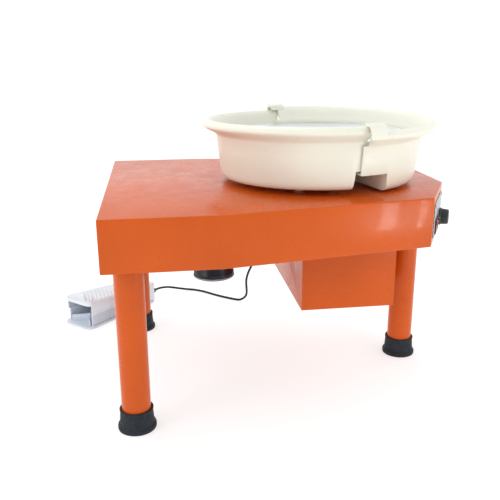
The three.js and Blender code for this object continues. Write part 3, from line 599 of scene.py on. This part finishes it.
def makeTable():
    low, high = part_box("table_shell")
    table = boxPiece("tableShell", low, high)
    straight, taper = tableSettings["straight"] * mm, tableSettings["taper"] * mm
    chamferX, chamferY = (size * mm for size in tableSettings["chamfer"])
    for side in (-1, 1):
        edgeY = low.y if side < 0 else high.y
        corners = [
            Vector((low.x + straight, edgeY, 0)),
            Vector((high.x - chamferX, edgeY - side * taper, 0)),
            Vector((high.x, edgeY - side * (taper + chamferY), 0)),
        ]
        for start, end in zip(corners, corners[1:]):
            along = end - start
            outward = Vector((-along.y, along.x, 0)) * side
            pick(table)
            bpy.ops.object.mode_set(mode="EDIT")
            bpy.ops.mesh.select_all(action="SELECT")
            bpy.ops.mesh.bisect(plane_co=start, plane_no=outward, use_fill=True, clear_outer=True)
            bpy.ops.object.mode_set(mode="OBJECT")
    return table


def openBelow(piece, level):
    # the bottom face goes, so that the sheet can be given its thickness
    pick(piece)
    bpy.ops.object.mode_set(mode="EDIT")
    bpy.ops.mesh.select_mode(type="FACE")
    bpy.ops.object.mode_set(mode="OBJECT")
    for face in piece.data.polygons:
        face.select = face.normal.z < -0.9 and abs(face.center.z - level) < mm
    bpy.ops.object.mode_set(mode="EDIT")
    bpy.ops.mesh.delete(type="FACE")
    bpy.ops.object.mode_set(mode="OBJECT")


def thicken(piece, thickness):
    pick(piece)
    change = piece.modifiers.new("sheet", "SOLIDIFY")
    change.thickness = thickness * mm
    change.offset = -1
    change.use_even_offset = True
    bpy.ops.object.modifier_apply(modifier=change.name)


table = makeTable()
roundEdges(table, tableSettings["edge"], 20, 4)
openBelow(table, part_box("table_shell")[0].z)
thicken(table, tableSettings["sheet"])
holeDepth = tableSettings["holeDepth"]
deckCentre = fromSpindle(0, 0, deckTop / mm)
bearingHole = plugPiece("bearingHole", tableSettings["hole"], -holeDepth, holeDepth, deckCentre, 64)
combine(table, bearingHole, "DIFFERENCE")
smooth(table, 30)
standIn(table, "table_shell")
print("table ready")


# Legs and feet

legPlaces = ["front_left", "back_left", "right"]
legSettings = {"radius": 25, "wall": 2, "edge": 0.6}
footSettings = {"steps": 96, "outer": 28.8, "sole": 33.3, "height": 39, "bore": 25.3, "floor": 6}


def makeLeg(place):
    node = "leg_" + place
    low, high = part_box(node)
    radius, wall, edge = legSettings["radius"], legSettings["wall"], legSettings["edge"]
    bottom, top = low.z / mm, high.z / mm
    outline = [
        (radius - wall, bottom), (radius - edge, bottom), (radius, bottom + edge),
        (radius, top - edge), (radius - edge, top), (radius - wall, top),
    ]
    axis = Vector((middleOf(node).x, middleOf(node).y, 0))
    leg = turnedPiece(joined(node), outline, axis)
    smooth(leg)
    standIn(leg, node)


def makeFoot(place):
    # a stretched rubber cup: flared sole, dished side, rolled mouth
    node = "foot_" + place
    axis = Vector((middleOf(node).x, middleOf(node).y, 0))
    outer, sole, height = footSettings["outer"], footSettings["sole"], footSettings["height"]
    bore, floorTop = footSettings["bore"], footSettings["floor"]
    outline = [
        (0, 1.2), (sole - 9, 1.2), (sole - 8, 0), (sole - 1.6, 0), (sole - 0.5, 0.5), (sole, 1.8),
        (sole, 6.6), (sole - 0.6, 8.1), (sole - 2.2, 9.2), (outer + 1.6, 10.4), (outer + 0.9, 13),
        (outer + 0.5, 18), (outer, 25), (outer - 0.3, 32), (outer - 0.2, 34.6), (outer + 0.3, 36),
        (outer + 0.3, 37.8), (outer - 0.4, 38.7), (outer - 1.6, height), (outer - 2.9, height - 0.3),
        (outer - 3.4, height - 1.4), (bore, height - 3), (bore, floorTop), (0, floorTop),
    ]
    foot = turnedPiece(joined(node), outline, axis, footSettings["steps"], False)
    smooth(foot, 40)
    standIn(foot, node)


for place in legPlaces:
    makeLeg(place)
    makeFoot(place)
print("legs and feet ready")


# Splash pan: both halves from one shape, the right one turned half a turn

panSettings = {
    "wallFoot": 186, "wallHead": 193, "wallTop": 88, "floor": 7, "bottomRound": 15, "wall": 3,
    "steps": 160, "turn": 11.5, "tilt": 1.08, "tiltAt": 60, "shift": 2.2, "edge": 0.5,
    "tunnelTop": 40, "tunnelBottom": -13, "tunnelHalf": 31, "tunnelSlope": 4, "tunnelTurn": 5,
    "tunnelReach": 260,
    "lap": 7, "lapBack": 20, "lapBottom": -2, "lapFrom": 130, "lapRise": 3, "collar": 52, "collarTop": 48,
    "hook": (-12, 16), "pads": ((-125, 0), (-78, -98), (-78, 98)), "padRadius": 9, "padHeights": (-5, 8),
    "soleLevel": 0.3, "reach": 400, "under": -100, "over": 300,
}
wallFoot, wallHead, wallTop = panSettings["wallFoot"], panSettings["wallHead"], panSettings["wallTop"]
floorLevel, roundTop = panSettings["floor"], panSettings["floor"] + panSettings["bottomRound"]
hollowTop = wallTop + 60


def fromWallTop(points):
    return [(wallHead + r, wallTop + z) for r, z in points]


panOutside = [
    (171, floorLevel), (178.5, 8.7), (182.5, 11.5), (184.8, 16), (wallFoot, roundTop), (wallHead - 2.3, 66),
]
panOutside += fromWallTop([
    (0, 0), (1.3, 2.4), (3.6, 4.6), (8, 7.4), (14, 10.3), (20, 13.2), (23.6, 15.4), (25.5, 17.8), (26, 20.2),
    (25.4, 22.8), (23.8, 25.6), (21.2, 27.8), (18.6, 29.1), (16.5, 29.5),
])
panInside = fromWallTop([
    (14.4, 29.2), (12.5, 27.8), (10.4, 25), (8.5, 22), (5.8, 16.4), (3.5, 11), (0.4, 5), (-3.3, 0),
])
panInside += [
    (wallHead - 5.6, 66), (wallFoot - 3, roundTop + 3), (181, 19.4), (177.5, 15.2), (173.4, 12),
    (168, floorLevel + 3),
]
hookSection = fromWallTop([
    (9, 23), (12, 32), (14.5, 33.8), (20, 35), (26, 34.4), (30, 33), (34.2, 30.2), (37, 26), (38.2, 20),
    (38.5, 10), (37.6, 9), (36.4, 8.8), (35.5, 9.6), (35, 17), (33, 23), (30.6, 26.4), (27, 29), (18, 29),
    (12, 27),
])


def tunnelTool(grow):
    half, top = panSettings["tunnelHalf"] + grow, panSettings["tunnelTop"] + grow
    bottom, slope = panSettings["tunnelBottom"], panSettings["tunnelSlope"]
    reach = panSettings["tunnelReach"] * mm
    section = [(-half - slope, bottom), (half + slope, bottom), (half, top), (-half, top)]
    outline = [Vector((x * mm, 0, z * mm)) for x, z in section]
    tunnel = slabPiece("tunnel", outline, -reach, 2 * reach, (0, 1, 0))
    tunnel.data.transform(Matrix.Rotation(math.radians(panSettings["tunnelTurn"]), 4, "Z"))
    return tunnel


def makePanShell():
    steps, collar, collarTop = panSettings["steps"], panSettings["collar"], panSettings["collarTop"]
    outside = panOutside + [(collar, wallTop + 29.5), (collar, floorLevel)]
    shell = turnedPiece("pan", outside, origin, steps)
    combine(shell, tunnelTool(0), "DIFFERENCE")
    inside = panInside + [
        (collar + 3, floorLevel + 3), (collar + 3, collarTop), (collar - 10, collarTop),
        (collar - 10, hollowTop), (wallHead + 14.4, hollowTop),
    ]
    hollow = turnedPiece("hollow", inside, origin, steps)
    combine(hollow, tunnelTool(panSettings["wall"]), "DIFFERENCE")
    combine(shell, hollow, "DIFFERENCE")
    core = plugPiece("core", collar - 1, panSettings["under"], panSettings["over"], origin, 96)
    combine(shell, core, "DIFFERENCE")
    return shell


def makeHook():
    reach, under, over = panSettings["reach"], panSettings["under"], panSettings["over"]
    hook = turnedPiece("hook", hookSection, origin, panSettings["steps"])
    start, end = panSettings["hook"]
    slab = boxPiece("hookSlab", Vector((start, -reach, under)) * mm, Vector((end, 0, over)) * mm)
    combine(hook, slab, "INTERSECT")
    return roundEdges(hook, 1.1, 50, 3)


def makeHalfPan():
    half = makePanShell()
    reach, under, over = panSettings["reach"], panSettings["under"], panSettings["over"]
    ownHigh = Vector((-panSettings["edge"], reach, over)) * mm
    own = boxPiece("own", Vector((-reach, -reach, under)) * mm, ownHigh)
    for side in (-1, 1):
        near, far = sorted((side * panSettings["lapFrom"], side * reach))
        lapLow = Vector((-panSettings["lapBack"], near, panSettings["lapBottom"])) * mm
        lapHigh = Vector((panSettings["lap"], far, wallTop + panSettings["lapRise"])) * mm
        lap = boxPiece("lap", lapLow, lapHigh)
        combine(own, lap, "UNION")
    combine(half, own, "INTERSECT")
    roundEdges(half, 0.9, 50, 2)
    combine(half, makeHook(), "UNION")
    for x, y in panSettings["pads"]:
        low, high = panSettings["padHeights"]
        pad = plugPiece("pad", panSettings["padRadius"], low, high, Vector((x, y, 0)) * mm, 32)
        combine(half, pad, "UNION")
    lean = Matrix.Rotation(math.radians(-panSettings["tilt"]), 4, "X")
    raised = Matrix.Translation((0, 0, -panSettings["tiltAt"] * mm))
    lowered = Matrix.Translation((0, panSettings["shift"] * mm, panSettings["tiltAt"] * mm))
    half.data.transform(lowered @ lean @ raised)
    belowLow = Vector((-reach, -reach, under)) * mm
    below = boxPiece("below", belowLow, Vector((reach, reach, panSettings["soleLevel"])) * mm)
    combine(half, below, "DIFFERENCE")
    return half


leftPan = makeHalfPan()
leftPan.name = "panLeft"
rightPan = leftPan.copy()
rightPan.data = leftPan.data.copy()
rightPan.name = "panRight"
bpy.context.collection.objects.link(rightPan)
for pan, node, halfTurn in ((leftPan, "pan_left", 0), (rightPan, "pan_right", 180)):
    turn = Matrix.Rotation(math.radians(panSettings["turn"] + halfTurn), 4, "Z")
    pan.data.transform(Matrix.Translation(fromSpindle(0, 0, deckTop / mm)) @ turn)
    smooth(pan, 32)
    standIn(pan, node)
print("splash pan ready")


# Wheel head

headSettings = {
    "radius": 175, "thick": 12, "steps": 192, "recess": (62, 66), "recessDepth": 3,
    "grooves": (75, 137.5), "depth": 0.8, "screws": 3, "firstScrew": 30, "screwCircle": 35,
    "screwHole": 4.3, "screwSeat": 8, "seatLevel": 8,
}


def makeHead():
    radius, thick, depth = headSettings["radius"], headSettings["thick"], headSettings["depth"]
    recessFrom, recessTo = headSettings["recess"]
    recessDepth = headSettings["recessDepth"]
    outline = [
        (0, 0), (recessFrom, 0), (recessTo, recessDepth), (radius - 16, recessDepth), (radius - 12, 0),
        (radius - 5, 0), (radius - 1.4, 0.6), (radius, 2), (radius, thick - 2),
        (radius - 0.5, thick - 0.6), (radius - 1.8, thick),
    ]
    for groove in reversed(headSettings["grooves"]):
        outline += [(groove + 1, thick), (groove + 0.7, thick - depth)]
        outline += [(groove - 0.7, thick - depth), (groove - 1, thick)]
    outline.append((0, thick))
    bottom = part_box("wheel_head")[0].z
    middle = Vector((spindle.x, spindle.y, bottom))
    head = turnedPiece("wheelHead", outline, middle, headSettings["steps"], False)
    circle = headSettings["screwCircle"] * mm
    hole, wide, level = headSettings["screwHole"], headSettings["screwSeat"], headSettings["seatLevel"]
    holeOutline = [(0, -2), (hole, -2), (hole, level), (wide, level), (wide, thick + 2), (0, thick + 2)]
    for i in range(headSettings["screws"]):
        angle = math.radians(headSettings["firstScrew"] + 360 * i / headSettings["screws"])
        place = spindle + Vector((circle * math.cos(angle), circle * math.sin(angle), bottom))
        combine(head, turnedPiece("screwHole", holeOutline, place, 48, False), "DIFFERENCE")
    roundEdges(head, 0.25, 60, 1)
    smooth(head, 25)
    standIn(head, "wheel_head")


makeHead()
print("wheel head ready")


# Motor

motorSettings = {
    "radius": 40, "waist": 39.2, "neck": 15, "neckHeight": 4, "cap": 40.8, "steps": 128,
    "bossBase": 6, "bossTip": 5, "bossLength": 6, "bossOut": 41,
}


def makeMotor():
    radius, waist, steps = motorSettings["radius"], motorSettings["waist"], motorSettings["steps"]
    neck, neckHeight = motorSettings["neck"], motorSettings["neckHeight"]
    low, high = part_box("motor_body")
    bottom, top = low.z / mm, high.z / mm - neckHeight
    outline = [
        (0, bottom), (radius - 1.4, bottom), (radius - 0.4, bottom + 0.4), (radius, bottom + 1.4),
        (radius, bottom + 5.6), (waist, bottom + 6.6), (waist, top - 9), (radius, top - 8),
        (radius, top - 1.8), (radius - 0.6, top - 0.5), (radius - 1.6, top), (neck, top),
        (neck, top + neckHeight), (0, top + neckHeight),
    ]
    motor = turnedPiece("motorBody", outline, motorAxis, steps, False)
    lead = fromSpindle(*motorLead["route"][0])
    deselectAll()
    bpy.ops.mesh.primitive_cone_add(
        vertices=48, radius1=motorSettings["bossBase"] * mm, radius2=motorSettings["bossTip"] * mm,
        depth=motorSettings["bossLength"] * mm, rotation=(0, math.pi / 2, 0),
        location=(motorAxis.x + motorSettings["bossOut"] * mm, motorAxis.y, lead.z),
    )
    combine(motor, settle(bpy.context.object), "UNION")
    smooth(motor, 40)
    standIn(motor, "motor_body")


def makeMotorCap():
    radius = motorSettings["cap"]
    low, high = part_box("motor_end_cap")
    bottom, top = low.z / mm, high.z / mm
    outline = [
        (0, bottom), (radius - 4.8, bottom), (radius - 2.2, bottom + 0.5), (radius - 0.5, bottom + 1.6),
        (radius, bottom + 2.6), (radius, top - 0.5), (radius - 0.5, top), (0, top),
    ]
    cap = turnedPiece("motorEndCap", outline, motorAxis, motorSettings["steps"], False)
    smooth(cap, 40)
    standIn(cap, "motor_end_cap")


makeMotor()
makeMotorCap()
print("motor ready")


# Control panel: knob, dial and screws, placed on the panel's own plane

knobSettings = {
    "radius": 16, "height": 17, "along": 38, "up": -13, "out": 2.3, "gap": 0.2,
    "flutes": 20, "fluteRadius": 1.1, "fluteLength": 18, "fluteMiddle": 13.5, "fluteInset": 1.6,
    "stub": 3, "stubHeights": (-9.5, 1),
    "pointer": 1.4, "pointerFrom": 4, "pointerDepth": 0.7, "pointerRise": 0.12,
}
dialSettings = {
    "ticks": 11, "sweep": 270, "near": 18.5, "far": 21.5, "wide": 0.8, "thick": 0.12, "face": 1.55,
}
panelScrews = ((-55, 25.5), (55, 25.5), (-55, -25.5), (55, -25.5))
joints = frame["record"]["behaviour"]["joints"]
knobJoint = next(joint for joint in joints if joint["name"] == "speed_knob_turn")
panelOut = Vector(knobJoint["axis"])
panelAlong = Vector((-panelOut.y, panelOut.x, 0))
upward = Vector((0, 0, 1))


def onPanel(along, up, out):
    # a place on the panel, in millimetres from its middle
    start = Vector(knobJoint["pos_m"])
    along -= knobSettings["along"]
    up -= knobSettings["up"]
    out -= knobSettings["out"]
    return start + (panelAlong * along + upward * up + panelOut * out) * mm


def turnTo(piece, across, up, out, place):
    # the piece, drawn about the origin along +Z, takes its place and direction
    turn = Matrix((across, up, out)).transposed().to_4x4()
    piece.data.transform(Matrix.Translation(place) @ turn)
    return piece


def makeKnob():
    radius, height = knobSettings["radius"], knobSettings["height"]
    outline = [
        (0, 0.2), (radius - 0.5, 0.2), (radius, 0.7), (radius, 2.6), (radius - 0.5, 3.4),
        (radius - 1.4, 4.2), (radius - 2.4, height - 2.2), (radius - 2.9, height - 1),
        (radius - 3.9, height - 0.3), (radius - 5.2, height), (4, height - 0.5), (0, height - 0.6),
    ]
    body = turnedPiece("speedKnob", outline, origin, 120, False)
    reach = radius - knobSettings["fluteInset"]
    middle = knobSettings["fluteMiddle"]
    for i in range(knobSettings["flutes"]):
        angle = 2 * math.pi * (i + 0.5) / knobSettings["flutes"]
        deselectAll()
        bpy.ops.mesh.primitive_cylinder_add(
            vertices=24, radius=knobSettings["fluteRadius"] * mm, depth=knobSettings["fluteLength"] * mm,
            location=Vector((math.cos(angle) * reach, math.sin(angle) * reach, middle)) * mm,
        )
        combine(body, settle(bpy.context.object), "DIFFERENCE")
    stub = plugPiece("stub", knobSettings["stub"], *knobSettings["stubHeights"], origin, 32)
    combine(body, stub, "UNION")
    place = onPanel(knobSettings["along"], knobSettings["up"], knobSettings["out"] - knobSettings["gap"])
    smooth(turnTo(body, panelAlong, upward, panelOut, place), 35)
    standIn(body, "speed_knob")
    half = knobSettings["pointer"] / 2
    lineLow = Vector((-half, knobSettings["pointerFrom"], height - knobSettings["pointerDepth"])) * mm
    lineHigh = Vector((half, radius - 4.6, height + knobSettings["pointerRise"])) * mm
    line = boxPiece("knobPointer", lineLow, lineHigh)
    roundEdges(line, 0.1, 40, 1)
    seat(turnTo(line, panelAlong, upward, panelOut, place), "speed_knob", "grey_plastic")


def makeDial():
    # printed marks round the knob
    half = dialSettings["wide"] / 2
    markLow = Vector((-half, dialSettings["near"], 0)) * mm
    markHigh = Vector((half, dialSettings["far"], dialSettings["thick"])) * mm
    marks = []
    for i in range(dialSettings["ticks"]):
        mark = boxPiece("mark", markLow, markHigh)
        sweep = dialSettings["sweep"] * (0.5 - i / (dialSettings["ticks"] - 1))
        mark.data.transform(Matrix.Rotation(math.radians(sweep), 4, "Z"))
        marks.append(mark)
    deselectAll()
    for mark in marks:
        mark.select_set(True)
    bpy.context.view_layer.objects.active = marks[0]
    bpy.ops.object.join()
    dial = bpy.context.object
    dial.name = "dialMarks"
    place = onPanel(knobSettings["along"], knobSettings["up"], dialSettings["face"])
    turnTo(dial, panelAlong, upward, panelOut, place)
    seat(dial, "table", "black_plastic")


makeKnob()
makeDial()
print("control panel ready")


# Fasteners: a domed cross-head screw and a hexagon bolt, made to size and copied to every place

fastenerSettings = {
    "panelScrew": (3, 1.9), "flangeScrew": (4, 2.6), "hangerScrew": (3.6, 2.4), "bolt": (4.6, 4),
    "flangeCircle": 30.8, "flangeThick": 4, "housingCircle": 39.6, "housingThick": 8.1,
    "bracketLip": 3, "bracketInset": (16, 11), "boxSheet": 1.5, "boxInset": (30, 9.5),
}
downward = Vector((0, 0, -1))


def crossScrew(radius, height):
    outline = [
        (0, 0), (radius, 0), (radius, 0.2 * height), (0.93 * radius, 0.5 * height),
        (0.7 * radius, 0.82 * height), (0.35 * radius, height), (0, height),
    ]
    head = turnedPiece("crossScrew", outline, origin, 48, False)
    for wide, deep in ((0.6, 0.13), (0.13, 0.6)):
        size = Vector((wide * radius, deep * radius, 0))
        slot = boxPiece("slot", (-size + upward * 0.45 * height) * mm, (size + upward * 2 * height) * mm)
        combine(head, slot, "DIFFERENCE")
    return smooth(head, 30)


def hexBolt(radius, height):
    deselectAll()
    bpy.ops.mesh.primitive_cylinder_add(
        vertices=6, radius=radius * mm, depth=height * mm, location=(0, 0, height * mm / 2),
    )
    head = settle(bpy.context.object)
    outline = [
        (0, -1), (2 * radius, -1), (radius + 1.2, 0.55 * height), (0.86 * radius, height), (0, height),
    ]
    combine(head, turnedPiece("crown", outline, origin, 48, False), "INTERSECT")
    washer = plugPiece("washer", 1.25 * radius, 0, 0.7, origin, 48)
    combine(head, washer, "UNION")
    return smooth(head, 30)


def placeFasteners(master, name, places, out):
    across = upward if abs(out.z) < 0.5 else Vector((1, 0, 0))
    for i, place in enumerate(places):
        piece = master.copy()
        piece.data = master.data.copy()
        piece.name = name + str(i + 1)
        bpy.context.collection.objects.link(piece)
        turnTo(piece, across, out.cross(across), out, place)
        seat(piece, "table", "steel")
    bpy.data.objects.remove(master)


def around(centre, count, radius, height, start=0):
    places = []
    for i in range(count):
        angle = math.radians(start + 360 * i / count)
        x = centre.x + radius * mm * math.cos(angle)
        y = centre.y + radius * mm * math.sin(angle)
        places.append(Vector((x, y, height)))
    return places


def insetCorners(low, high, inset, height):
    insetX, insetY = (size * mm for size in inset)
    return [
        Vector((x, y, height))
        for x in (low.x + insetX, high.x - insetX)
        for y in (low.y + insetY, high.y - insetY)
    ]


panelPlaces = [onPanel(x, y, dialSettings["face"]) for x, y in panelScrews]
placeFasteners(crossScrew(*fastenerSettings["panelScrew"]), "panelScrew", panelPlaces, panelOut)
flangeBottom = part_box("leg_flange_front_left")[1].z - fastenerSettings["flangeThick"] * mm
for place in ("front_left", "back_left"):
    flangePlaces = around(middleOf("leg_" + place), 3, fastenerSettings["flangeCircle"], flangeBottom, 90)
    screw = crossScrew(*fastenerSettings["flangeScrew"])
    placeFasteners(screw, joined("flangeScrew_" + place), flangePlaces, downward)
housingBottom = deckTop - fastenerSettings["housingThick"] * mm
housingPlaces = around(spindle, 6, fastenerSettings["housingCircle"], housingBottom, 30)
placeFasteners(hexBolt(*fastenerSettings["bolt"]), "housingBolt", housingPlaces, downward)
low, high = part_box("motor_bracket")
lipBottom = high.z - fastenerSettings["bracketLip"] * mm
bracketPlaces = insetCorners(low, high, fastenerSettings["bracketInset"], lipBottom)
placeFasteners(hexBolt(*fastenerSettings["bolt"]), "bracketBolt", bracketPlaces, downward)
low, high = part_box("control_box")
hangerBottom = high.z - fastenerSettings["boxSheet"] * mm
hangerPlaces = insetCorners(low, high, fastenerSettings["boxInset"], hangerBottom)
placeFasteners(crossScrew(*fastenerSettings["hangerScrew"]), "hangerScrew", hangerPlaces, downward)
print("fasteners ready")


# Pieces whose CAD shape only needs softer edges

edgeWidths = {  # millimetres; 0 keeps the piece's own edges
    "control_box": 0.6, "motor_bracket": 0.8, "pedal_base": 0.5, "pedal_end_housing": 0.5,
    "power_rocker": 0.5, "direction_rocker": 0.5, "pedal_tread": 0,
}
for node, item in frame["nodes"].items():
    if not item.hide_render:
        width = edgeWidths.get(node, 0.3)
        piece = copyOf(node, joined(node), width > 0)
        if width > 0:
            roundEdges(piece, width, 32)
        smooth(piece, 35 if width > 0 else 20)
        standIn(piece, node)
print("softened pieces ready")
